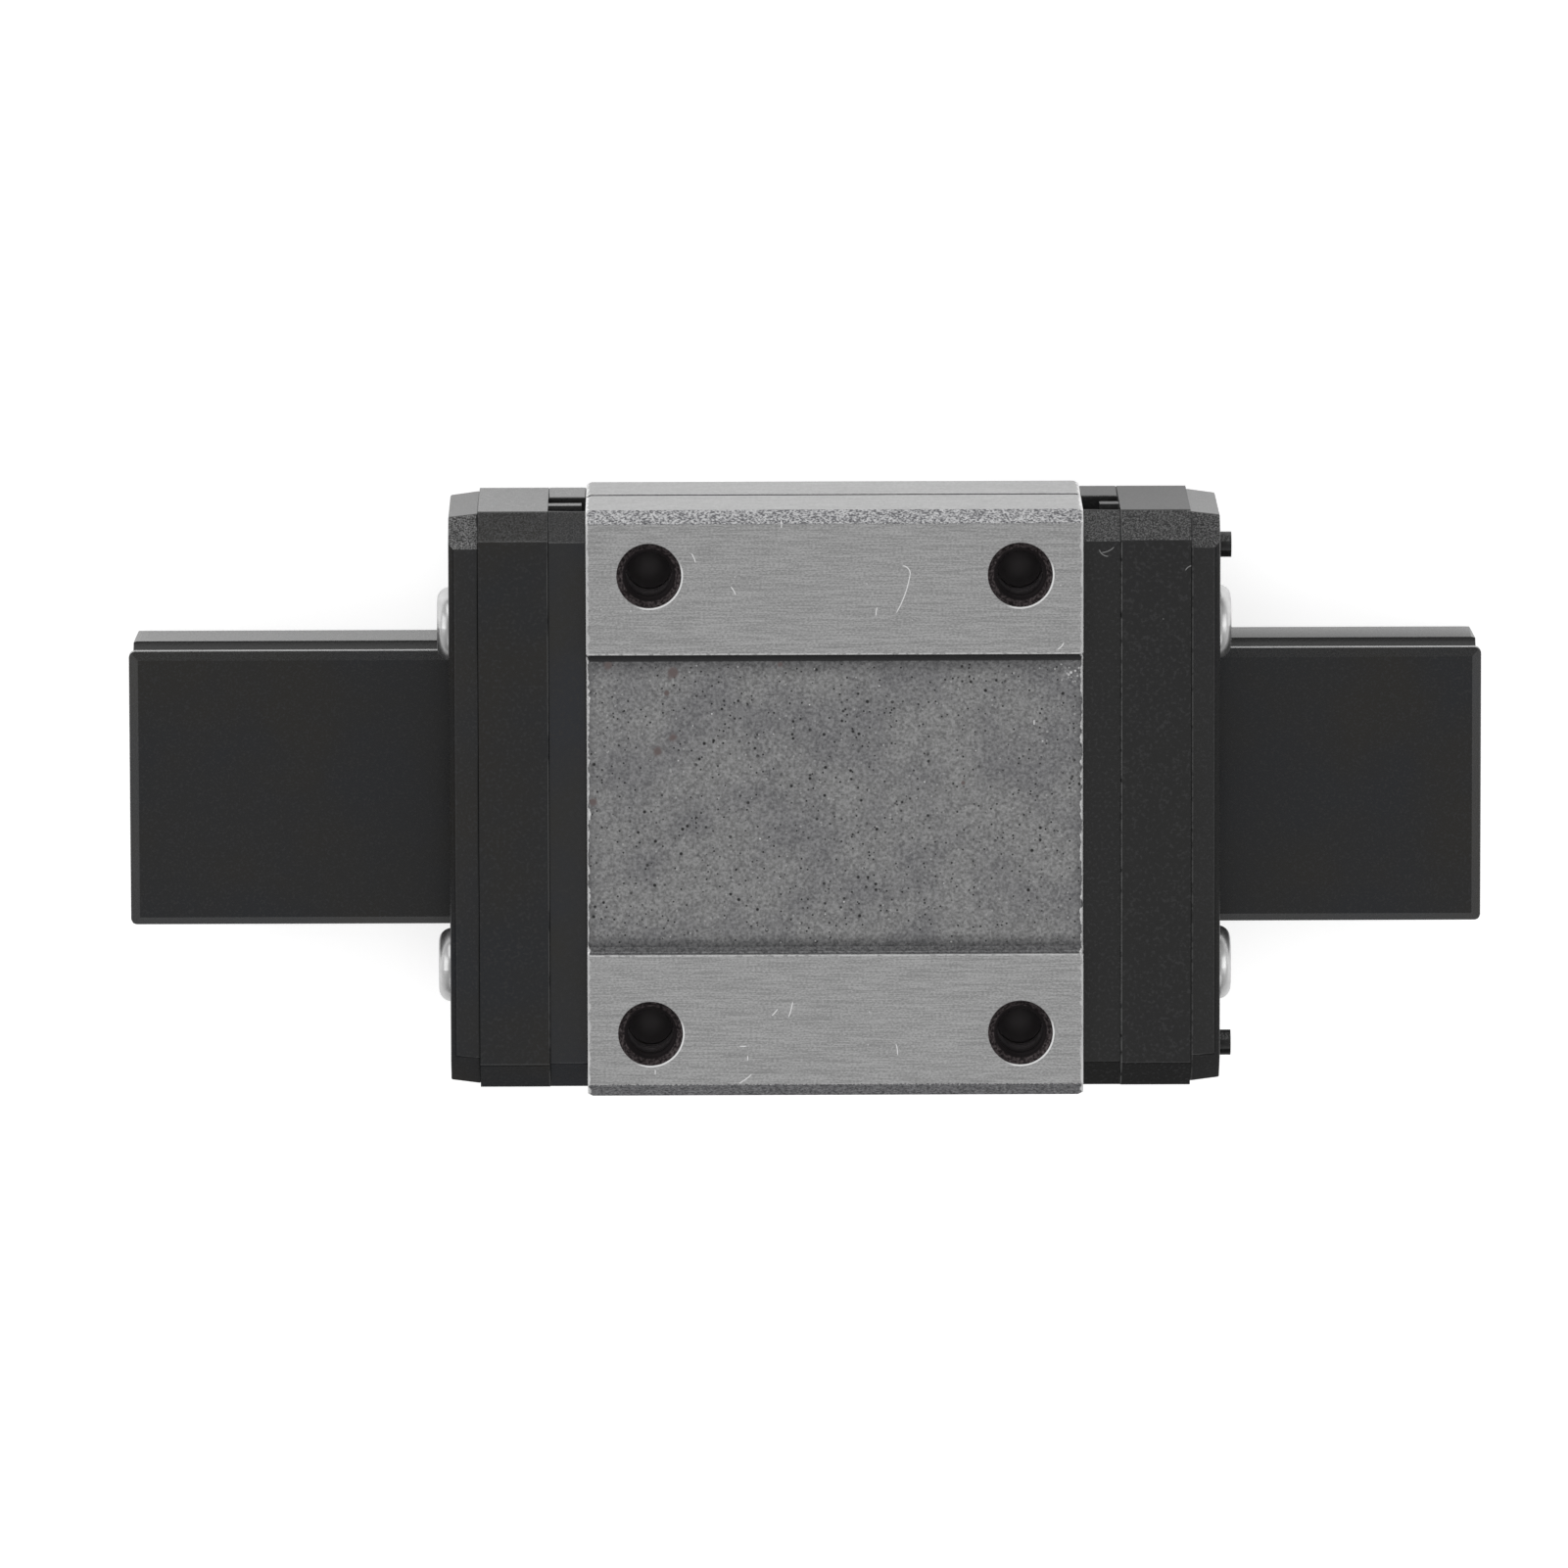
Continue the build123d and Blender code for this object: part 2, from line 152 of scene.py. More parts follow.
@dataclass(frozen=True)
class Finish:
    """A surface finish, made as a node material with coats of colour, one over another.

    Places and their limits are in millimetres, on Object coordinates. Each coat is a mask and the
    colour that it shows, and the first one, without a mask, lies under all the others.

    Args:
        name: Name of the material.
        edge_mm: Radius that light sees on sharp edges, or 0 where the mesh has its own roundings.
    """

    name: str
    edge_mm: float = 0.0
    coats: list[tuple[NodeSocket | None, NodeSocket | str]] = field(default_factory=list, init=False)

    def build(self) -> Material:
        """Makes the material."""
        raise NotImplementedError

    @cached_property
    def material(self) -> Material:
        """The material, empty at first."""
        material = bpy.data.materials.new(self.name)
        material.use_nodes = True
        material.node_tree.nodes.clear()
        return material

    @property
    def tree(self) -> NodeTree:
        """The material's nodes."""
        return self.material.node_tree

    def add(self, kind: str, inputs: dict | None = None, **options: str | int) -> NodeSocket:
        """Adds one node to the material and gives its first output in use."""
        outputs = add_node(self.tree, kind, inputs, **options).outputs
        return next(output for output in outputs if output.enabled)

    @cached_property
    def place(self) -> NodeSocket:
        """Place on the part."""
        metres = add_node(self.tree, "TexCoord").outputs["Object"]
        return self.add("VectorMath", {0: metres, "Scale": 1 / MM}, operation="SCALE")

    @cached_property
    def from_above(self) -> NodeSocket:
        """Place on the part with its height left out."""
        return self.add("VectorMath", {0: self.place, 1: (1.0, 1.0, 0.0)}, operation="MULTIPLY")

    @cached_property
    def axes(self) -> list[NodeSocket]:
        """The place along X, Y and Z."""
        return list(add_node(self.tree, "SeparateXYZ", {"Vector": self.place}).outputs)

    @cached_property
    def facing(self) -> list[NodeSocket]:
        """Direction that the surface faces, along X, Y and Z."""
        normal = add_node(self.tree, "TexCoord").outputs["Normal"]
        return list(add_node(self.tree, "SeparateXYZ", {"Vector": normal}).outputs)

    @cached_property
    def sideways(self) -> NodeSocket:
        """How far the surface faces the front or the rear."""
        return self.add("Math", {0: self.facing[1]}, operation="ABSOLUTE")

    @cached_property
    def from_centre(self) -> NodeSocket:
        """Distance along the rail from the carriage's centre, with its sign."""
        return self.add("Math", {0: self.axes[0], 1: CARRIAGE_X_MM}, operation="SUBTRACT")

    @cached_property
    def along(self) -> NodeSocket:
        """Distance along the rail from the carriage's centre."""
        return self.add("Math", {0: self.from_centre}, operation="ABSOLUTE")

    def distance(self, place: NodeSocket, x: float, y: float, z: float) -> NodeSocket:
        """Distance of a place from a point."""
        return self.add("VectorMath", {0: place, 1: (x, y, z)}, operation="DISTANCE")

    def all_of(self, *masks: NodeSocket) -> NodeSocket:
        """Mask that shows only where all the given masks do."""
        result = masks[0]
        for mask in masks[1:]:
            result = self.add("Math", {0: result, 1: mask}, operation="MULTIPLY")
        return result

    def any_of(self, *masks: NodeSocket) -> NodeSocket:
        """Mask that shows where any of the given masks does."""
        result = masks[0]
        for mask in masks[1:]:
            result = self.add("Math", {0: result, 1: mask}, operation="MAXIMUM")
        return result

    def over(
        self, value: NodeSocket, limit: float, soft: float = 0.02, outside: float = 0.0
    ) -> NodeSocket:
        """Mask that is 1 where a value is over a limit.

        Args:
            value: Value that is tested.
            limit: The limit.
            soft: Half the width over which the mask fades.
            outside: The mask's value below the limit; with 1 the mask is turned round.

        Returns:
            The mask.
        """
        ramp = {
            "Value": value, "From Min": limit - soft, "From Max": limit + soft,
            "To Min": outside, "To Max": 1.0 - outside,
        }
        return self.add("MapRange", ramp, interpolation_type="SMOOTHSTEP")

    def under(self, value: NodeSocket, limit: float, soft: float = 0.02) -> NodeSocket:
        """Mask that is 1 where a value is under a limit."""
        return self.over(value, limit, soft, outside=1.0)

    def between(self, value: NodeSocket, low: float, high: float, soft: float = 0.02) -> NodeSocket:
        """Mask that is 1 where a value lies between two limits."""
        return self.all_of(self.over(value, low, soft), self.under(value, high, soft))

    def contrast(self, value: NodeSocket, low: float, high: float) -> NodeSocket:
        """Stretches what lies between two values of a pattern to its full contrast."""
        return self.add("MapRange", {"Value": value, "From Min": low, "From Max": high})

    def roughened(self, value: NodeSocket, amount: float, pattern: NodeSocket) -> NodeSocket:
        """Value with an amount of a pattern added, so that its limits look ragged."""
        return self.add("Math", {0: pattern, 1: amount, 2: value}, operation="MULTIPLY_ADD")

    def noise(
        self, size_mm: float, detail: float = 3.0, stretch: Triple = (1.0, 1.0, 1.0), shift: float = 0.0
    ) -> NodeSocket:
        """Noise whose grains have a real size.

        Args:
            size_mm: Size of a grain.
            detail: Levels of finer noise.
            stretch: How much longer the grains are along X, Y and Z.
            shift: Moves the pattern, so that two noises differ.

        Returns:
            The noise, about 0.5 on average.
        """
        lengthened = {"Vector": self.place, "Scale": [1.0 / s for s in stretch], "Location": [shift] * 3}
        grains = {"Vector": self.add("Mapping", lengthened), "Scale": 1.0 / size_mm, "Detail": detail}
        return self.add("TexNoise", grains)

    def specks(self, spacing_mm: float, radius_mm: float, share: float) -> NodeSocket:
        """Mask of small round marks, scattered with a spacing, of which only a share shows.

        Args:
            spacing_mm: Mean distance between places for a mark.
            radius_mm: Radius of a mark.
            share: Share of the places that have one.

        Returns:
            The mask.
        """
        grid = {"Vector": self.place, "Scale": 1.0 / spacing_mm}
        cells = add_node(self.tree, "TexVoronoi", grid, feature="F1").outputs
        reach = radius_mm / spacing_mm
        lot = self.add("SeparateColor", {"Color": cells["Color"]})
        chosen = self.add("Math", {0: lot, 1: share}, operation="LESS_THAN")
        return self.all_of(self.under(cells["Distance"], reach * 0.9, reach * 0.3), chosen)

    def arc(self, mark: Arc) -> NodeSocket:
        """Mask of one fine curved hairline, seen from above: a circle where it crosses a disc.

        Args:
            mark: The circle's centre along and across the rail and its radius, then the disc's.

        Returns:
            The mask.
        """
        x, y, radius, disc_x, disc_y, disc_radius = mark
        half = HAIRLINE_MM / 2
        off_circle = self.distance(self.from_above, x, y, 0.0)
        circle = self.between(off_circle, radius - half, radius + half, half * 0.5)
        off_disc = self.distance(self.from_above, disc_x, disc_y, 0.0)
        return self.all_of(circle, self.under(off_disc, disc_radius, disc_radius * 0.2))

    def blend(self, mask: NodeSocket, below: NodeSocket | str, above: NodeSocket | str) -> NodeSocket:
        """Mixes two colours, each a socket or a hex colour; the mask shows the second."""
        below, above = (linear(colour) if isinstance(colour, str) else colour for colour in (below, above))
        return self.add("Mix", {"Factor": mask, 6: below, 7: above}, data_type="RGBA")

    def paint(self, mask: NodeSocket | None, colour: NodeSocket | str) -> None:
        """Lays a colour over the coats so far, where a mask shows, or as the first one."""
        self.coats.append((mask, colour))

    def finished(self, reliefs: list[tuple[NodeSocket, float]], **inputs: float | NodeSocket) -> Material:
        """Mixes the coats and feeds the surface shader.

        Args:
            reliefs: Height patterns, each with its depth in millimetres.
            inputs: The shader's inputs apart from its colour and normal, with _ for each space.

        Returns:
            The finished material.
        """
        colour = self.coats[0][1]
        for mask, coat in self.coats[1:]:
            colour = self.blend(mask, colour, coat)
        normal = {}
        if self.edge_mm:
            normal = {"Normal": self.add("Bevel", {"Radius": self.edge_mm * MM}, samples=4)}
        for height, depth_mm in reliefs:
            normal = {"Normal": self.add("Bump", {"Height": height, "Distance": depth_mm * MM, **normal})}
        surface = {"Base Color": colour, **normal}
        surface.update({name.replace("_", " "): value for name, value in inputs.items()})
        shader = self.add("BsdfPrincipled", surface)
        add_node(self.tree, "OutputMaterial", {"Surface": shader})
        return self.material


@dataclass(frozen=True)
class GroundSteel(Finish):
    """Hardened bearing steel: ground bright on the outside, left as forged in the middle of the top.

    Args:
        half_length_mm: Half the block's length.
        half_width_mm: Half the block's width.
        top_mm: Height of the mounting face.
        recess_half_mm: Half the width of the unground middle.
        recess_depth_mm: Depth of the unground middle.
        chamfer_mm: Size of the long top chamfers.
        hole_spacing_mm: Spacing of the mounting holes along and across the rail.
        mouth_mm: Radius of a hole's mouth.
        thread_mm: Radius within which a hole's thread shows.
        mark_mm: Height of the scribed line.
        mark_width_mm: Width of the scribed line.
        pit: Colour of the forged skin's pits.
        speck: Colour of bare steel that shines through the forged skin.
        stain: Colour of the rust stains.
        bright_edge: Colour of the worn ends, which also stands in for the highlight along their edges.
        scratch: Colour of scratches and of the painted highlight at the holes' mouths.
        smooth: Roughness of the ground faces.
        rough: Roughness of the forged, milled and scratched places.
        stains_mm: Place along and across the rail and radius of each rust stain.
        rub_mm: Place along and across the rail and radius of a rubbed corner.
        scratches_mm: Each scratch, as arc takes it.
    """

    half_length_mm: float = 13.4
    half_width_mm: float = 16.0
    top_mm: float = 14.6
    recess_half_mm: float = 8.2
    recess_depth_mm: float = 0.43
    chamfer_mm: float = 0.65
    hole_spacing_mm: tuple[float, float] = HOLE_SPACING_MM
    mouth_mm: float = 1.77
    thread_mm: float = 1.45
    mark_mm: float = 8.1
    mark_width_mm: float = 0.5
    pit: str = "3c3c3c"
    speck: str = "dedede"
    stain: str = "786e6d"
    bright_edge: str = "dcdcdc"
    scratch: str = "f4f4f4"
    smooth: float = 0.36
    rough: float = 0.62
    stains_mm: tuple[Triple, ...] = (
        (-7.16, 3.65, 0.3), (-7.98, 2.88, 0.32), (-10.67, 7.6, 0.28), (-7.2, 7.2, 0.4),
        (-7.5, 6.07, 0.16), (-1.4, 7.6, 0.2), (-11.5, 0.13, 0.26), (8.47, 1.12, 0.14),
    )
    rub_mm: Triple = (14.5, 7.1, 0.75)
    scratches_mm: tuple[Arc, ...] = (
        (-0.41, 13.51, 6.1, 5.25, 11.52, 1.1), (5.17, 12.58, 0.45, 5.5, 12.85, 0.33),
        (-2.8, 15.3, 1.5, -1.3, 15.3, 0.2), (4.97, 10.35, 1.2, 3.77, 10.55, 0.22),
        (13.2, 9.1, 0.75, 13.75, 8.6, 0.25), (13.5, 4.4, 1.2, 12.3, 4.4, 0.13),
        (-4.72, -10.18, 4.0, -0.85, -11.19, 0.42), (3.4, -13.6, 1.5, 4.9, -13.4, 0.3),
        (-7.4, 12.9, 1.5, -6.0, 13.5, 0.25), (-5.1, 11.0, 1.4, -3.9, 11.7, 0.25),
        (-5.08, -12.58, 3.0, -3.31, -15.0, 0.4), (-4.4, -13.85, 1.2, -3.2, -13.85, 0.13),
        (-3.46, -12.4, 0.8, -3.46, -13.2, 0.17), (-3.25, -10.06, 2.0, -1.72, -11.35, 0.24),
        (-9.2, -14.6, 1.0, -8.2, -14.6, 0.12),
    )

    @property
    def floor_mm(self) -> float:
        """Height of the unground middle."""
        return self.top_mm - self.recess_depth_mm

    @cached_property
    def across(self) -> NodeSocket:
        """Distance across the rail from its middle."""
        return self.add("Math", {0: self.axes[1]}, operation="ABSOLUTE")

    @cached_property
    def rear(self) -> NodeSocket:
        """Mask of the rear half."""
        return self.over(self.axes[1], 0.0, 0.1)

    @cached_property
    def upper(self) -> NodeSocket:
        """Mask of all that is as high as the unground middle."""
        return self.over(self.axes[2], self.floor_mm - 0.1)

    @cached_property
    def recess(self) -> NodeSocket:
        """Mask of the unground middle with the lower part of its slopes."""
        half = self.recess_half_mm - self.recess_depth_mm * 0.35
        return self.all_of(self.upper, self.under(self.across, half, 0.04))

    @cached_property
    def chamfer(self) -> NodeSocket:
        """Mask of the two long top chamfers, with a ragged edge."""
        jagged = self.roughened(self.across, 0.3, self.noise(0.16, shift=15.0))
        wide = self.over(jagged, self.half_width_mm - self.chamfer_mm + 0.1)
        return self.all_of(wide, self.over(self.axes[2], self.top_mm - self.chamfer_mm))

    @cached_property
    def from_hole(self) -> list[NodeSocket]:
        """Distances along and across the rail from the nearest hole's axis, with their sign."""
        return [
            self.add("Math", {0: distance, 1: spacing / 2}, operation="SUBTRACT")
            for distance, spacing in zip((self.along, self.across), self.hole_spacing_mm)
        ]

    @cached_property
    def reach(self) -> NodeSocket:
        """Distance from the nearest hole's axis."""
        plan = self.add("CombineXYZ", {"X": self.from_hole[0], "Y": self.from_hole[1]})
        return self.add("VectorMath", {0: plan}, operation="LENGTH")

    @cached_property
    def in_hole(self) -> NodeSocket:
        """Mask of the walls of the holes and their countersinks."""
        return self.under(self.reach, self.mouth_mm - 0.02, 0.012)

    @cached_property
    def burr(self) -> NodeSocket:
        """Mask of the painted highlight on one side of each hole's mouth."""
        offsets = [
            self.all_of(off, self.add("Math", {0: way}, operation="SIGN"))
            for off, way in zip(self.from_hole, (self.from_centre, self.axes[1]))
        ]
        lean = self.add("Math", {0: offsets[0], 1: offsets[1]}, operation="SUBTRACT")
        rim = self.between(self.reach, self.mouth_mm - 0.02, self.mouth_mm + 0.07, 0.015)
        return self.all_of(rim, self.over(lean, 1.1, 0.5))

    @cached_property
    def rubbed(self) -> NodeSocket:
        """Mask of the places where the inner edges of the ground strips are rubbed."""
        inner = self.recess_half_mm
        edge = self.between(self.across, inner, inner + 0.07)
        return self.all_of(self.upper, edge, self.over(self.noise(0.4, shift=41.0), 0.47, 0.04))

    @cached_property
    def lines(self) -> NodeSocket:
        """The grinding lines."""
        # Real grinding lines are some 5 microns apart: drawn 0.06 mm apart, so that they show.
        strokes = self.noise(0.06, 2.0, (30.0, 1.0, 1.0))
        fine = self.noise(0.08, 2.0, (1.8, 1.0, 1.0), 31.0)
        return self.add("Mix", {"Factor": 0.55, 2: strokes, 3: fine}, data_type="FLOAT")

    @cached_property
    def grain(self) -> NodeSocket:
        """Grain of the forged skin."""
        return self.noise(0.15, 4.0)

    @cached_property
    def speckle(self) -> NodeSocket:
        """Grain of the milled chamfers."""
        return self.noise(0.1, 4.0, (1.4, 1.0, 1.0), 5.0)

    def grind(self) -> None:
        """Lays the ground faces, with bright lines along the rail and a few glints, and paints the upright
        sides darker as painted shade.
        """
        bright = self.contrast(self.lines, 0.4, 0.6)
        self.paint(None, self.blend(bright, "a9a9a9", "d0d0d0"))
        self.paint(self.specks(0.8, 0.05, 0.25), "eaeaea")
        # painted shade: the upright sides get a darker colour than the top faces
        self.paint(self.over(self.sideways, 0.9, 0.03), self.blend(bright, "868686", "a6a6a6"))

    def forge(self) -> None:
        """Lays the forged middle with painted shade towards its rims, and the slopes beside it with painted
        shade, darker towards their tops and darkest at the rear.
        """
        texture = self.contrast(self.grain, 0.32, 0.68)
        y, z = self.axes[1:]
        patches = self.contrast(self.noise(3.0), 0.4, 0.62)
        clean = self.blend(texture, "7a7a7a", "aaaaaa")
        skin = self.blend(patches, clean, self.blend(texture, "707072", "9c9c9d"))
        # painted shade: the forged middle is darker along its rear, end and front rims, most at the front
        for rim, deep, crest in (
            (self.over(y, self.recess_half_mm - 0.9, 0.6), "5c5c5d", "848485"),
            (self.over(self.along, self.half_length_mm - 0.25, 0.4), "5c5c5d", "848485"),
            (self.under(y, -(self.recess_half_mm - 0.75), 0.5), "4c4c4d", "747475"),
        ):
            skin = self.blend(rim, skin, self.blend(texture, deep, crest))
        self.paint(self.recess, skin)
        # painted shade on the slopes: darker towards their tops, and darkest on the rear slope
        slope_top_shade = self.blend(self.rear, self.blend(texture, "4a4a4b", "767677"), "2e2e2f")
        slope_foot_shade = self.blend(self.rear, self.blend(texture, "666667", "949495"), "565657")
        half = self.recess_half_mm
        slopes = self.all_of(
            self.between(z, self.floor_mm + 0.03, self.top_mm - 0.03),
            self.between(self.across, half - self.recess_depth_mm - 0.01, half + 0.01),
        )
        self.paint(slopes, self.blend(self.contrast(z, self.floor_mm, self.top_mm), slope_foot_shade, slope_top_shade))

    def pit_skin(self) -> None:
        """Scatters pits and glints over the forged middle, and wears its corner."""
        half = self.recess_half_mm - self.recess_depth_mm - 0.15
        flat = self.all_of(self.recess, self.under(self.across, half, 0.05))
        groups = self.over(self.noise(2.6, shift=3.0), 0.52, 0.05)
        self.paint(self.all_of(self.specks(0.46, 0.1, 0.5), flat, groups), self.pit)
        for spacing, radius, share, colour in (
            (0.3, 0.06, 0.45, self.pit), (0.37, 0.06, 0.3, "b4b4b4"), (0.9, 0.05, 0.4, self.speck),
        ):
            self.paint(self.all_of(self.specks(spacing, radius, share), flat), colour)
        x, y, radius = self.rub_mm
        near = self.under(self.distance(self.place, x, y, self.floor_mm), radius * 0.6, radius * 0.4)
        self.paint(self.all_of(self.recess, near, self.specks(0.17, 0.08, 0.7)), self.speck)

    def stain_skin(self) -> None:
        """Lays the rust stains on the forged middle, each with a ragged edge."""
        for x, y, radius in self.stains_mm:
            off_stain = self.distance(self.place, x, y, self.floor_mm)
            ragged = self.roughened(off_stain, radius * 1.6, self.noise(0.5, shift=x))
            mark = self.under(ragged, radius * 1.5, radius * 0.35)
            self.paint(self.all_of(mark, self.recess), self.stain)

    def mill(self) -> None:
        """Lays the milled chamfers: the rear one painted lighter, a painted glitter, and the front one
        darker, painted shade.
        """
        front = self.blend(self.contrast(self.speckle, 0.35, 0.65), "565658", "929294")
        back = self.blend(self.contrast(self.speckle, 0.39, 0.61), "737376", "d0d0d1")
        # painted light: the rear chamfer gets lighter colours than the front one, whose darker colours are
        # painted shade
        self.paint(self.chamfer, self.blend(self.rear, front, back))

    def bore(self) -> None:
        """Lays the scaly countersinks, the threads with painted shade near their mouths, and a painted
        highlight on each mouth's rim.
        """
        self.paint(self.in_hole, self.blend(self.contrast(self.grain, 0.4, 0.7), "2c2829", "6b6364"))
        in_thread = self.under(self.reach, self.thread_mm - 0.02, 0.03)
        deep = self.under(self.axes[2], self.top_mm - 2.6, 1.4)
        # painted shade: the thread's turns near the mouth are dark, its deeper turns lighter
        self.paint(in_thread, self.blend(deep, "2a2728", "8a8587"))
        # painted highlight on one side of each hole's mouth
        self.paint(self.burr, self.scratch)

    def wear(self) -> None:
        """Paints shade into the scribed groove in the rear side, and brightens the worn ends, which also
        stand in for the highlight along their edges.
        """
        half = self.mark_width_mm / 2
        groove = self.between(self.axes[2], self.mark_mm - half, self.mark_mm + half)
        sunk = self.between(self.axes[1], self.half_width_mm - 0.4, self.half_width_mm - 0.02, 0.01)
        # painted shade in the scribed groove
        self.paint(self.all_of(groove, sunk), "303031")
        ragged = self.roughened(self.along, 0.5, self.noise(0.45, shift=11.0))
        # worn ends, painted lighter also as a painted highlight along the edge
        self.paint(self.over(ragged, self.half_length_mm + 0.13, 0.03), self.bright_edge)

    def build(self) -> Material:
        """Makes the material.

        Returns:
            The finished material.
        """
        self.grind()
        self.forge()
        self.paint(self.rubbed, "d6d6d6")
        self.pit_skin()
        self.stain_skin()
        self.mill()
        self.bore()
        self.wear()
        scratches = [self.arc(mark) for mark in self.scratches_mm]
        for line in scratches:
            self.paint(line, self.scratch)
        matt = self.any_of(self.recess, self.chamfer, self.burr, self.rubbed, *scratches)
        holes = {0: self.in_hole, 1: 2.0, 2: matt}
        uneven = self.add("Math", holes, operation="MULTIPLY_ADD", use_clamp=True)
        roughness = self.add("MapRange", {"Value": uneven, "To Min": self.smooth, "To Max": self.rough})
        deep_grain = self.all_of(self.grain, self.recess)
        milled_grain = self.all_of(self.speckle, self.chamfer)
        reliefs = [(self.lines, 0.002), (deep_grain, 0.03), (milled_grain, 0.05)]
        return self.finished(reliefs, Metallic=1.0, Roughness=roughness)


@dataclass(frozen=True)
class MouldedPlastic(Finish):
    """Black plastic or rubber, moulded in spark-eroded tools: satin, with a fine even grain.

    Args:
        cold: Cooler of the two cloud colours.
        warm: Warmer of the two cloud colours.
        mottle: Colour of the grain's crests.
        dust: Colour of dust and lint.
        scuff: Colour of the long rear chamfers' speckles: partly scuffs, partly a painted sheen of light.
        grain_mm: Size of the grain.
        grain_depth_mm: Depth of the grain.
        roughness: Roughness of the face.
        dull_level: Specular level of the chamfers that don't face the rear.
        dust_share: Share of the places that have a dust speck.
        seam_mm: Distance of a seam from the carriage's centre, or 0 where there is none.
        seam_run_mm: Length of the stretches where the seam's painted line shows.
        seam: Colour of the painted line along the seam: lighter ones a painted highlight on its edge,
            darker ones painted shade in its gap.
        joint_mm: Distance from that centre of the joint at the block, whose gap is given painted shade, or
            0 where there is none.
        land_mm: Lower and upper height of the land on the sides that is painted grey as a painted
            reflection, or nothing.
        groove_mm: Height above which the side under that land lies in the raceway's shade.
        lint_mm: Hairlines of lint, each as arc takes it.
        shift: Moves the patterns, so that two parts differ.
    """

    cold: str = "15171b"
    warm: str = "1a1815"
    mottle: str = "232324"
    dust: str = "7c7c7c"
    scuff: str = "4a4a4a"
    grain_mm: float = 0.18
    grain_depth_mm: float = 0.008
    roughness: float = 0.28
    dull_level: float = 0.1
    dust_share: float = 0.12
    seam_mm: float = 0.0
    seam_run_mm: float = 1.6
    seam: str = "444444"
    joint_mm: float = 0.0
    land_mm: tuple[float, float] | None = None
    groove_mm: float = 4.1
    lint_mm: tuple[Arc, ...] = ()
    shift: float = 0.0

    def build(self) -> Material:
        """Makes the material.

        Returns:
            The finished material.
        """
        clouds = self.contrast(self.noise(5.0, shift=self.shift), 0.35, 0.65)
        self.paint(None, self.blend(clouds, self.cold, self.warm))
        # Real spark-eroded grain is under 0.1 mm wide: drawn coarser, so that it shows.
        grain = self.noise(self.grain_mm, shift=self.shift)
        self.paint(self.over(grain, 0.6, 0.08), self.mottle)
        self.paint(self.specks(1.6, 0.05, self.dust_share), self.dust)
        slanted = self.between(self.facing[2], 0.5, 0.93)
        scuffs_and_sheen = self.contrast(self.noise(0.09, 4.0, shift=4.0), 0.42, 0.68)
        # partly scuffs, partly painted sheen: speckled lighter colour only on chamfers that face the rear
        self.paint(self.all_of(slanted, self.over(self.facing[1], 0.3), scuffs_and_sheen), self.scuff)
        if self.seam_mm:
            self.draw_seam()
        if self.land_mm:
            self.rub_land()
        for mark in self.lint_mm:
            self.paint(self.arc(mark), self.dust)
        patchy = {"Value": grain, "To Min": self.roughness - 0.06, "To Max": self.roughness + 0.08}
        # The mould's ground chamfers stay duller than its spark-eroded faces.
        dull = self.all_of(slanted, self.under(self.facing[1], 0.3))
        level = {"Value": dull, "To Min": PLAIN_SPECULAR, "To Max": self.dull_level}
        return self.finished(
            [(grain, self.grain_depth_mm)], IOR=1.5, Roughness=self.add("MapRange", patchy),
            Specular_IOR_Level=self.add("MapRange", level),
        )

    def draw_seam(self) -> None:
        """Draws the painted line along the seam towards the next part, and the painted shade in the joint's
        gap at the block.
        """
        seam_line = self.all_of(
            self.between(self.along, self.seam_mm - 0.04, self.seam_mm + 0.05),
            self.over(self.noise(self.seam_run_mm, shift=13.0), 0.45, 0.1),
            self.over(self.facing[2], 0.5, 0.1),
        )
        # painted highlight on the seam's edge where the colour is light, painted shade in its gap where it
        # is dark
        self.paint(seam_line, self.seam)
        # painted shade in the gap at the block
        self.paint(self.under(self.along, self.joint_mm + 0.07, 0.012), "020202")

    def rub_land(self) -> None:
        """Paints shade into the raceway, and paints the land above it grey in streaks along the rail, a
        painted reflection.
        """
        low, high = self.land_mm
        height = self.axes[2]
        # painted shade in the raceway
        self.paint(self.between(height, self.groove_mm, low), "050506")
        streaks = self.contrast(self.noise(0.25, stretch=(9.0, 1.0, 1.0), shift=7.0), 0.35, 0.65)
        land = self.all_of(self.between(height, low, high), self.over(self.sideways, 0.8, 0.05))
        # painted reflection: the land above the raceway painted grey in streaks
        self.paint(land, self.blend(streaks, "565656", "8c8c8c"))


@dataclass(frozen=True)
class BrightSteel(Finish):
    """Smooth bright metal with a trace of handling marks.

    Args:
        colour: Colour of the metal.
        dull: Colour of the handling marks.
        roughness: Roughness of the metal.
        mark_mm: Size of the handling marks.
    """

    colour: str = "c4c4c6"
    dull: str = "a2a2a4"
    roughness: float = 0.12
    mark_mm: float = 0.5

    def build(self) -> Material:
        """Makes the material.

        Returns:
            The finished material.
        """
        marks = self.noise(self.mark_mm, 4.0)
        self.paint(None, self.blend(marks, self.colour, self.dull))
        patchy = {"Value": marks, "To Min": self.roughness * 0.7, "To Max": self.roughness * 1.4}
        return self.finished([(marks, 0.001)], Metallic=1.0, Roughness=self.add("MapRange", patchy))


def dress(obj: Object, material: Material) -> None:
    """Gives an object one material on all its faces."""
    obj.data.materials.clear()
    obj.data.materials.append(material)


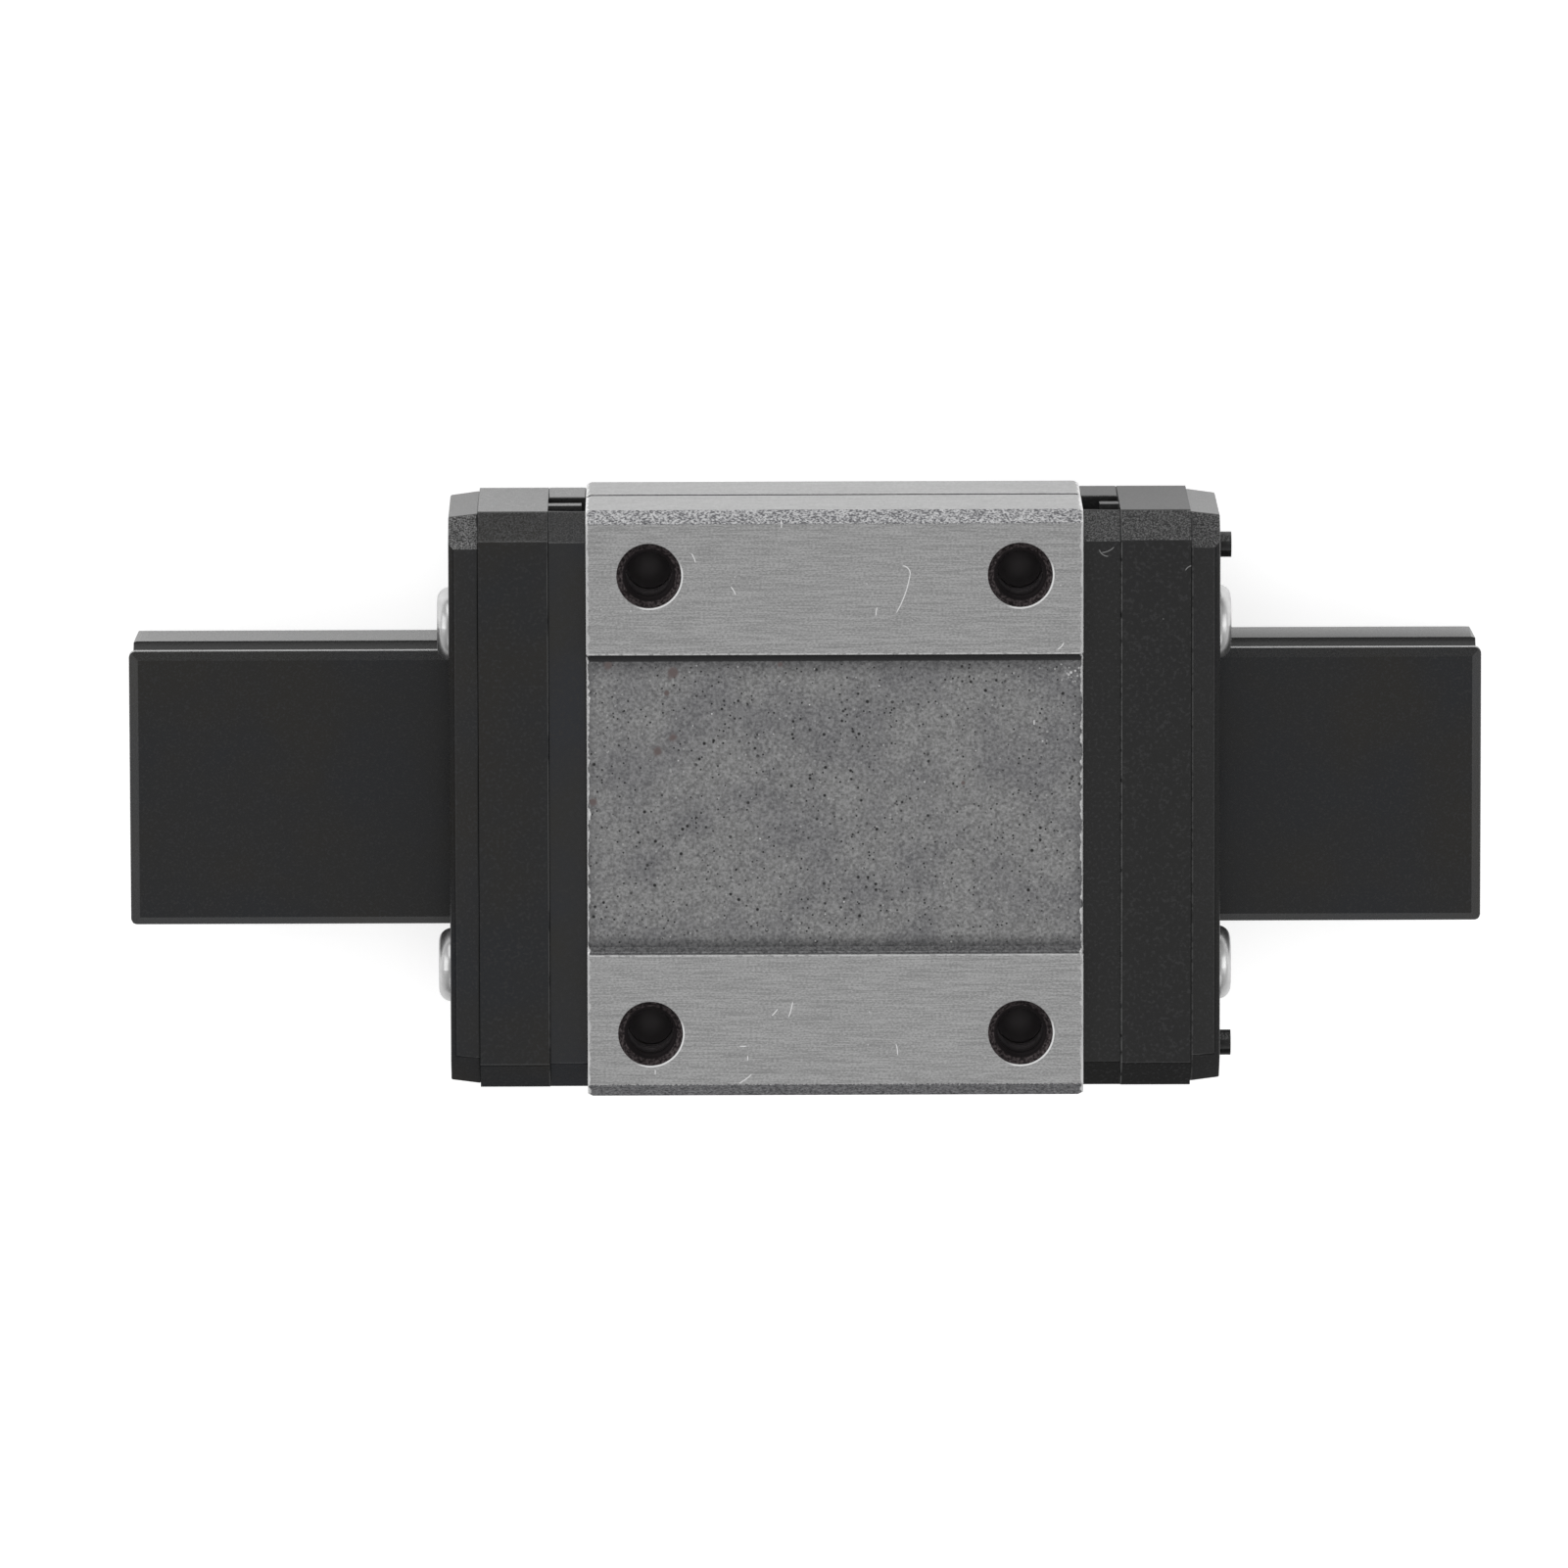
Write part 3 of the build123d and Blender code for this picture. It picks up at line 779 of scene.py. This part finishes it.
def new_object(name: str, shape: BMesh) -> Object:
    """Turns a finished shape into an object of the scene.

    Args:
        name: Name of the object.
        shape: Shape in the part's frame; it is freed.

    Returns:
        The new object.
    """
    mesh = bpy.data.meshes.new(name)
    shape.to_mesh(mesh)
    shape.free()
    obj = bpy.data.objects.new(name, mesh)
    bpy.context.scene.collection.objects.link(obj)
    return obj


def new_piece(name: str, shape: BMesh, body: str) -> Object:
    """Turns a finished shape into a piece that rides on a body.

    Args:
        name: Name of the piece.
        shape: Shape in the part's frame; it is freed.
        body: Body that carries the piece.

    Returns:
        The new object.
    """
    obj = new_object(name, shape)
    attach(obj, body)
    return obj


def merged_copy(source: Object) -> BMesh:
    """Copies a CAD node's mesh and joins its loose triangles into whole flat faces.

    Args:
        source: CAD node's object, which isn't changed.

    Returns:
        The joined shape, without the node's stored normals.
    """
    plain = source.data.copy()
    stored = plain.attributes.get("custom_normal")
    if stored:
        plain.attributes.remove(stored)
    shape = bmesh.new()
    shape.from_mesh(plain)
    bpy.data.meshes.remove(plain)
    bmesh.ops.remove_doubles(shape, verts=shape.verts, dist=WELD_MM * MM)
    bmesh.ops.dissolve_limit(
        shape, angle_limit=FLAT_ANGLE, verts=shape.verts, edges=shape.edges, use_dissolve_boundaries=False
    )
    return shape


def soften(shape: BMesh, edges: list[BMEdge], radius_mm: float) -> None:
    """Rounds some edges of a shape by a width."""
    bmesh.ops.bevel(
        shape, geom=edges, offset=radius_mm * MM, offset_type="OFFSET", segments=2, profile=0.5,
        affect="EDGES", clamp_overlap=True, material=-1,
    )


def long_arrises(shape: BMesh, least_mm: float) -> list[BMEdge]:
    """Outward edges of a shape between two flat faces that have a least length."""
    return [
        edge for edge in shape.edges
        if len(edge.link_faces) == 2 and edge.calc_length() > least_mm * MM
        and ARRIS_ANGLE < edge.calc_face_angle_signed(0.0) < WIDEST_ARRIS_ANGLE
    ]


def shade(obj: Object) -> None:
    """Shades a piece smooth over its roundings and crisp elsewhere, with its flat faces kept flat."""
    obj.data.shade_smooth()
    obj.data.set_sharp_from_angle(angle=SHARP_ANGLE)
    weighted = obj.modifiers.new("weighted_normals", "WEIGHTED_NORMAL")
    weighted.mode = "FACE_AREA"
    weighted.weight = 50
    weighted.keep_sharp = True


@dataclass
class SoftenedPart:
    """A moulded part: its CAD solid with the small edge roundings that the mould leaves.

    Args:
        node: CAD node that it stands for.
        name: Name of the new piece.
        body: Body that carries it.
        slot: Record slot of its finish, not used.
        radius_mm: Width of the rounding.
        least_mm: Least length of a rounded edge.
        half_width_mm: Only edges as far out as this, or outside the two heights, are rounded.
        low_mm: Height below which every long edge is rounded.
        high_mm: Height above which every long edge is rounded.
        short_hook_mm: How far the rear latch hook's tip is drawn back.
        flush_mm: How far the side faces come out, to lie flush with the next part.
    """

    node: str
    name: str
    body: str
    slot: str
    radius_mm: float = 0.08
    least_mm: float = 1.0
    half_width_mm: float = 15.2
    low_mm: float = 3.6
    high_mm: float = 12.0
    short_hook_mm: float = 0.0
    flush_mm: float = 0.0

    def shorten_hook(self, shape: BMesh) -> None:
        """Draws the rear latch hook's tip back along the rail, away from the block."""
        tips = [v for v in shape.verts if v.co.y > HOOK_SIDE_MM * MM and v.co.x < HOOK_TIP_MM * MM]
        bmesh.ops.translate(shape, verts=tips, vec=(self.short_hook_mm * MM, 0, 0))

    def widen(self, shape: BMesh) -> None:
        """Brings both side faces out."""
        least = (self.half_width_mm + SIDE_DEPTH_MM) * MM
        for side in (-1, 1):
            outer = [v for v in shape.verts if v.co.y * side > least]
            bmesh.ops.translate(shape, verts=outer, vec=(0, side * self.flush_mm * MM, 0))

    def outside(self, edge: BMEdge) -> bool:
        """Tells whether an edge lies on the part's outline."""
        return all(
            abs(v.co.y) > self.half_width_mm * MM
            or not self.low_mm * MM <= v.co.z <= self.high_mm * MM
            for v in edge.verts
        )

    def build(self, frame: dict, material: Material) -> Object:
        """Copies the CAD part, rounds its outer edges and dresses it.

        Args:
            frame: The loaded frame.
            material: Finish of the part.

        Returns:
            The dressed part.
        """
        shape = merged_copy(frame["nodes"][self.node])
        if self.flush_mm:
            self.widen(shape)
        soften(shape, [e for e in long_arrises(shape, self.least_mm) if self.outside(e)], self.radius_mm)
        if self.short_hook_mm:
            self.shorten_hook(shape)
        part = new_piece(self.name, shape, self.body)
        dress(part, material)
        shade(part)
        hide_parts(self.node)
        return part


@dataclass
class SteelBlock:
    """The steel block, with cut M3 threads in its four mounting holes.

    Args:
        node: CAD node that it stands for.
        hole_spacing_mm: Spacing of the mounting holes along and across the rail.
        pitch_mm: Pitch of the thread.
        flank_deg: Slope of the thread's flanks.
        major_radius_mm: Radius at the thread's roots.
        hole_radius_mm: Radius of the tapped bore.
        overlap_mm: How far the cutter reaches into the bore.
        thread_depth_mm: Depth of the cut thread below the mounting face.
        steps: Steps of the thread in one turn.
        rounding_mm: Width of the rounding on the block's edges.
        least_mm: Least length of a rounded edge.
        end_chamfer_mm: Width of the chamfer round the block's ends.
        corner_reach_mm: How near to a side face a corner's point lies.
        corner_extra_mm: How much wider that chamfer is at the block's four upright corners.
    """

    node: str = "carriage_block"
    hole_spacing_mm: tuple[float, float] = HOLE_SPACING_MM
    pitch_mm: float = 0.5
    flank_deg: float = 30.0
    major_radius_mm: float = 1.5
    hole_radius_mm: float = 1.25
    overlap_mm: float = 0.1
    thread_depth_mm: float = 4.0
    steps: int = 40
    rounding_mm: float = 0.04
    least_mm: float = 2.0
    end_chamfer_mm: float = 0.12
    corner_reach_mm: float = 0.05
    corner_extra_mm: float = 0.15

    def cutter(self, x: float, y: float, top: float) -> Object:
        """Makes the winding ridge that cuts one thread.

        Args:
            x: Hole's centre along the rail, in metres.
            y: Hole's centre across the rail, in metres.
            top: Height of the mounting face, in metres.

        Returns:
            The cutter, out of the object's own pieces.
        """
        inner = (self.hole_radius_mm - self.overlap_mm) * MM
        outer = self.major_radius_mm * MM
        # The root's flat is an eighth of the pitch.
        half_root = self.pitch_mm * MM / 16
        half_mouth = half_root + (outer - inner) * math.tan(math.radians(self.flank_deg))
        turns = self.thread_depth_mm / self.pitch_mm + 1
        start = top - self.thread_depth_mm * MM
        shape = bmesh.new()
        corners = [
            shape.verts.new((x + reach, y, start + lift))
            for reach, lift in (
                (inner, -half_mouth), (outer, -half_root), (outer, half_root), (inner, half_mouth),
            )
        ]
        profile = shape.faces.new(corners)
        steps = int(self.steps * turns)
        bmesh.ops.spin(
            shape, geom=[profile], cent=(x, y, 0), axis=(0, 0, 1), angle=math.tau * turns,
            dvec=(0, 0, self.pitch_mm * MM * turns / steps), steps=steps,
        )
        bmesh.ops.recalc_face_normals(shape, faces=shape.faces)
        return new_object("thread_cutter", shape)

    def cut(self, block: Object, cutter: Object) -> None:
        """Cuts one thread out of the block and removes the cutter.

        Args:
            block: Object that is cut.
            cutter: Object that cuts it.
        """
        modifier = block.modifiers.new("thread", "BOOLEAN")
        modifier.operation = "DIFFERENCE"
        modifier.solver = "EXACT"
        modifier.object = cutter
        graph = bpy.context.evaluated_depsgraph_get()
        mesh = bpy.data.meshes.new_from_object(block.evaluated_get(graph))
        block.modifiers.remove(modifier)
        block.data = mesh
        bpy.data.objects.remove(cutter)

    def widen_corners(self, shape: BMesh, centre: Vector, high: Vector) -> None:
        """Makes the end chamfers wider at the block's four upright corners.

        Args:
            shape: Shape that is changed.
            centre: Middle of the block.
            high: Highest corner of the block's box.
        """
        near = self.corner_reach_mm * MM
        for side in (-1, 1):
            corners = [
                v for v in shape.verts
                if abs(v.co.y) > high.y - near
                and near < high.x - centre.x - (v.co.x - centre.x) * side < 2 * self.end_chamfer_mm * MM
            ]
            bmesh.ops.translate(shape, verts=corners, vec=(-side * self.corner_extra_mm * MM, 0, 0))

    def build(self, frame: dict, material: Material) -> Object:
        """Copies the CAD block, cuts its threads and dresses it.

        Args:
            frame: The loaded frame.
            material: Finish of the block.

        Returns:
            The dressed block.
        """
        low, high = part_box(self.node)
        centre = (low + high) / 2
        shape = merged_copy(frame["nodes"][self.node])
        self.widen_corners(shape, centre, high)
        soften(shape, long_arrises(shape, self.least_mm), self.rounding_mm)
        block = new_piece("ground_block", shape, "carriage")
        half_x, half_y = (spacing * MM / 2 for spacing in self.hole_spacing_mm)
        for side_x in (-1, 1):
            for side_y in (-1, 1):
                self.cut(block, self.cutter(centre.x + side_x * half_x, side_y * half_y, high.z))
        dress(block, material)
        shade(block)
        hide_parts(self.node)
        return block


@dataclass
class EndStack:
    """Return guide, end cap, seal, screws and grease plug at one end.

    Args:
        end: Which end it is.
        short_hook_mm: How far the right cap's rear hook ends before the left one does.
        guide_flush_mm: How far the guides' sides come out, to lie flush with the caps.
    """

    end: End
    short_hook_mm: float = 0.75
    guide_flush_mm: float = 0.07

    def build(self, frame: dict, finishes: dict[str, Material]) -> list[str]:
        """Dresses the end's pieces.

        Args:
            frame: The loaded frame.
            finishes: Materials by name.

        Returns:
            Names of the dressed pieces.
        """
        hook_back = self.short_hook_mm if self.end is End.RIGHT else 0.0
        names = []
        for stem, look, slot, hook, flush in (
            ("return_guide", "guide", "black_plastic", 0.0, self.guide_flush_mm),
            ("end_cap", "cap", "black_plastic", hook_back, 0.0),
            ("end_seal", "seal", "seal_rubber", 0.0, 0.0),
        ):
            node = f"{stem}_{self.end.word}"
            part = SoftenedPart(
                node, f"moulded_{node}", "carriage", slot, short_hook_mm=hook, flush_mm=flush
            )
            names.append(part.build(frame, finishes[f"{look}_{self.end.word}"]).name)
        plain = {f"grease_plug_{self.end.word}": "plug"}
        plain.update({f"cap_screw_{row.word}_{self.end.word}": "screw" for row in Row})
        for node, look in plain.items():
            dress(frame["nodes"][node], finishes[look])
        return names + sorted(plain)


@dataclass
class BallLoops:
    """The two closed loops of balls and the wires that keep them."""

    def build(self, frame: dict, finishes: dict[str, Material]) -> list[str]:
        """Dresses the balls and wires.

        Args:
            frame: The loaded frame.
            finishes: Materials by name.

        Returns:
            Names of the dressed nodes.
        """
        names = []
        for row in Row:
            for stem, look in (("balls", "ball"), ("ball_wire", "wire")):
                node = f"{stem}_{row.word}"
                dress(frame["nodes"][node], finishes[look])
                names.append(node)
        return names


@dataclass
class Studio:
    """Pale floor, soft light and the camera.

    Args:
        target_mm: Point that the camera looks at.
        distance_mm: Distance from that point.
        lens_mm: Focal length.
        sensor_mm: Width of the sensor.
        tilt_deg: Lean of the view from straight above, towards the rear.
        pan_deg: Lean of the view from straight above, along the rail.
        roll_deg: Turn of the camera about its own axis.
        floor_mm: Side of the floor.
        straight: Strength of the floor's white for the camera's own rays.
        mirrored: Strength of the floor's white for mirrored rays and for rays through glass.
        dim_front_mm: Distance in front of the object at which the floor's mirror image is dim.
        dark_wall: Strength of the room's front and rear walls.
        white_wall: Strength of the room's left and right walls.
        ceiling: Strength of the room's ceiling.
        lamps: Name, place, size and power of each lamp, in metres and watts.
    """

    target_mm: Triple = (-1.18, 0.522, 10.6)
    distance_mm: float = 900.0
    lens_mm: float = 381.4
    sensor_mm: float = 36.0
    tilt_deg: float = 8.948
    pan_deg: float = -0.318
    roll_deg: float = -0.15
    floor_mm: float = 4000.0
    straight: float = 0.65
    mirrored: float = 0.6
    dim_front_mm: float = 40.0
    dark_wall: float = 0.3
    white_wall: float = 0.85
    ceiling: float = 0.6
    lamps: list[tuple[str, Triple, float, float]] = field(default_factory=lambda: [
        ("lamp_rear", (-0.15, 0.75, 0.55), 0.7, 1.8),
        ("lamp_left", (-0.8, 0.1, 0.6), 0.7, 1.8),
        ("lamp_right", (0.8, 0.0, 0.6), 0.7, 1.8),
        ("lamp_front", (0.1, -0.8, 0.7), 0.7, 1.5),
    ])

    def camera(self) -> None:
        """Makes the camera at the photograph's angle."""
        tilt, pan, roll = (math.radians(a) for a in (self.tilt_deg, self.pan_deg, self.roll_deg))
        back = Vector((math.sin(pan) * math.cos(tilt), math.sin(tilt), math.cos(pan) * math.cos(tilt)))
        back.normalize()
        right = Vector((0, 1, 0)).cross(back).normalized()
        level = Matrix((right, back.cross(right), back)).transposed()
        data = bpy.data.cameras.new("camera")
        data.lens = self.lens_mm
        data.sensor_width = self.sensor_mm
        data.clip_start, data.clip_end = 0.05, 20.0
        camera = bpy.data.objects.new("camera", data)
        camera.location = Vector(self.target_mm) * MM + back * self.distance_mm * MM
        camera.rotation_euler = (level @ Matrix.Rotation(roll, 3, "Z")).to_euler()
        bpy.context.scene.collection.objects.link(camera)
        bpy.context.scene.camera = camera

    def seen_white(self, tree: NodeTree) -> NodeSocket:
        """Strength that only the rays which show the background get, dimmer in front of the object.

        Args:
            tree: Node tree that gets the nodes.

        Returns:
            The strength.
        """
        path = add_node(tree, "LightPath").outputs
        bent = {0: path["Is Glossy Ray"], 1: path["Is Transmission Ray"]}
        turned = add_node(tree, "Math", bent, operation="MAXIMUM").outputs["Value"]
        place = add_node(tree, "SeparateXYZ", {"Vector": add_node(tree, "TexCoord").outputs["Object"]})
        fading = {
            "Value": place.outputs["Y"], "From Min": -self.dim_front_mm * MM, "From Max": 0.0,
            "To Min": self.mirrored / 4, "To Max": self.mirrored,
        }
        lit = add_node(tree, "MapRange", fading, interpolation_type="SMOOTHSTEP").outputs["Result"]
        dimmed = add_node(tree, "Math", {0: turned, 1: lit}, operation="MULTIPLY").outputs["Value"]
        total = {0: path["Is Camera Ray"], 1: self.straight, 2: dimmed}
        return add_node(tree, "Math", total, operation="MULTIPLY_ADD").outputs["Value"]

    def floor(self) -> None:
        """Makes the pale floor, which shows white and keeps the object's shadow."""
        shape = bmesh.new()
        bmesh.ops.create_grid(shape, x_segments=1, y_segments=1, size=self.floor_mm * MM / 2)
        floor = new_object("floor", shape)
        material = bpy.data.materials.new("floor_paper")
        material.use_nodes = True
        tree = material.node_tree
        tree.nodes.clear()
        paper = add_node(tree, "BsdfDiffuse", {"Color": linear("e8e8e8")}).outputs["BSDF"]
        glow = add_node(tree, "Emission", {"Strength": self.seen_white(tree)}).outputs["Emission"]
        both = add_node(tree, "AddShader", {0: paper, 1: glow})
        add_node(tree, "OutputMaterial", {"Surface": both.outputs["Shader"]})
        dress(floor, material)

    def world(self) -> None:
        """Makes the room: a mid grey ceiling, white walls left and right, darker ones front and rear."""
        world = bpy.data.worlds.new("room")
        world.use_nodes = True
        tree = world.node_tree
        tree.nodes.clear()
        ways = add_node(tree, "SeparateXYZ", {"Vector": add_node(tree, "TexCoord").outputs["Generated"]})
        sideways = add_node(tree, "Math", {0: ways.outputs["X"]}, operation="ABSOLUTE").outputs["Value"]
        walls = {
            "Value": sideways, "From Min": 0.35, "From Max": 0.8,
            "To Min": self.dark_wall, "To Max": self.white_wall,
        }
        wall = add_node(tree, "MapRange", walls, interpolation_type="SMOOTHSTEP").outputs["Result"]
        rising = {
            "Value": ways.outputs["Z"], "From Min": 0.2, "From Max": 0.7,
            "To Min": wall, "To Max": self.ceiling,
        }
        room = add_node(tree, "MapRange", rising, interpolation_type="SMOOTHSTEP").outputs["Result"]
        seen = add_node(tree, "LightPath").outputs["Is Camera Ray"]
        white = add_node(tree, "Math", {0: room, 1: seen}, operation="MAXIMUM").outputs["Value"]
        sky = add_node(tree, "Background", {"Strength": white}).outputs["Background"]
        add_node(tree, "OutputWorld", {"Surface": sky})
        bpy.context.scene.world = world

    def lights(self) -> None:
        """Hangs the soft lamps round the object, each aimed at it."""
        for name, place, size, power in self.lamps:
            data = bpy.data.lights.new(name, "AREA")
            data.shape = "SQUARE"
            data.size = size
            data.energy = power
            lamp = bpy.data.objects.new(name, data)
            lamp.location = place
            lamp.rotation_euler = (-Vector(place)).to_track_quat("-Z", "Y").to_euler()
            bpy.context.scene.collection.objects.link(lamp)

    def build(self) -> None:
        """Sets up the whole studio."""
        self.camera()
        self.floor()
        self.world()
        self.lights()
        bpy.context.scene.view_settings.view_transform = "Standard"


def looks() -> dict[str, Finish]:
    """Gives each finish by the name of what wears it."""
    return {
        # Bearing steel, hardened and ground: bright satin strips with lines along the rail, and between
        # them the forged skin, dark, pitted and stained.
        "block": GroundSteel("ground_bearing_steel"),
        # Glass-filled nylon from a fresh tool: near black and even, with a faint cold and warm cloudiness.
        "guide_left": MouldedPlastic(
            "nylon_guide_left", cold="1e2025", warm="21201e", shift=9.0, seam_mm=15.45, joint_mm=13.4,
        ),
        "cap_left": MouldedPlastic("nylon_cap_left", seam_mm=15.45),
        # The same nylon after handling: duller, with bits of lint, and its rear chamfer painted paler in
        # speckles, partly scuffs and partly a painted sheen.
        "guide_right": MouldedPlastic(
            "nylon_guide_right", cold="0d0d0e", warm="0f0f0e", scuff="6c6c6c", roughness=0.42, shift=12.0,
            seam_mm=15.45, seam_run_mm=0.5, seam="5a5a5a", joint_mm=13.4,
            lint_mm=((16.3, 13.9, 0.5, 16.0, 13.5, 0.3), (15.9, 14.6, 1.0, 16.3, 13.7, 0.35)),
        ),
        "cap_right": MouldedPlastic(
            "nylon_cap_right", cold="0b0b0c", warm="0d0d0c", scuff="686868", roughness=0.42, shift=3.0,
            seam_mm=15.45, seam_run_mm=0.5, seam="5a5a5a", lint_mm=((20.9, 12.4, 0.5, 20.7, 12.9, 0.35),),
        ),
        # Nitrile rubber, moulded: satin black, with its rear chamfer painted grey in speckles, partly
        # scuffs and partly a painted sheen.
        "seal_left": MouldedPlastic(
            "rubber_seal_left", scuff="8e8e8e", grain_mm=0.14, roughness=0.32, shift=17.0, seam_mm=19.27,
            seam_run_mm=3.0, seam="020202",
        ),
        "seal_right": MouldedPlastic(
            "rubber_seal_right", cold="161617", warm="181817", scuff="707070", grain_mm=0.14, roughness=0.3,
            shift=19.0, seam_mm=19.3, seam_run_mm=0.3, seam="3c3c3c",
        ),
        # Acetal, moulded: a smooth satin skin, with painted shade in the raceway and the land above it
        # painted grey, a painted reflection.
        "rail": MouldedPlastic(
            "acetal_rail", scuff="242424", grain_mm=0.12, grain_depth_mm=0.005, roughness=0.26, shift=29.0,
            land_mm=(7.3, 8.0), dull_level=0.43,
        ),
        # Steel under a bright zinc coat: pale, with soft reflections and rounded glints on its edges.
        "screw": BrightSteel("plated_screw", 0.06, colour="cfcfcf", dull="b4b4b4", roughness=0.3),
        # Bearing steel, lapped: close to a mirror.
        "ball": BrightSteel("lapped_ball"),
        # Spring steel, drawn: bright with blurred reflections.
        "wire": BrightSteel("drawn_wire", roughness=0.25),
        # Steel with black oxide: dark grey metal with a dull sheen.
        "plug": BrightSteel("blackened_plug", colour="3a3a3c", dull="2a2a2b", roughness=0.4),
    }


def main() -> None:
    """Builds the dressed part and its studio."""
    logging.basicConfig(level=logging.INFO)
    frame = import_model()
    finishes = {name: finish.build() for name, finish in looks().items()}
    rail = SoftenedPart(
        "transport_rail", "moulded_rail", "rail", "rail_plastic", radius_mm=0.05, least_mm=1.2,
        half_width_mm=0.0, low_mm=0.0, high_mm=0.0,
    )
    logger.info("built %s", rail.build(frame, finishes["rail"]).name)
    block = SteelBlock().build(frame, finishes["block"])
    logger.info("built %s with %d faces", block.name, len(block.data.polygons))
    for end in End:
        logger.info("dressed %s", ", ".join(EndStack(end).build(frame, finishes)))
    logger.info("dressed %s", ", ".join(BallLoops().build(frame, finishes)))
    Studio().build()


if __name__ == "__main__":
    main()
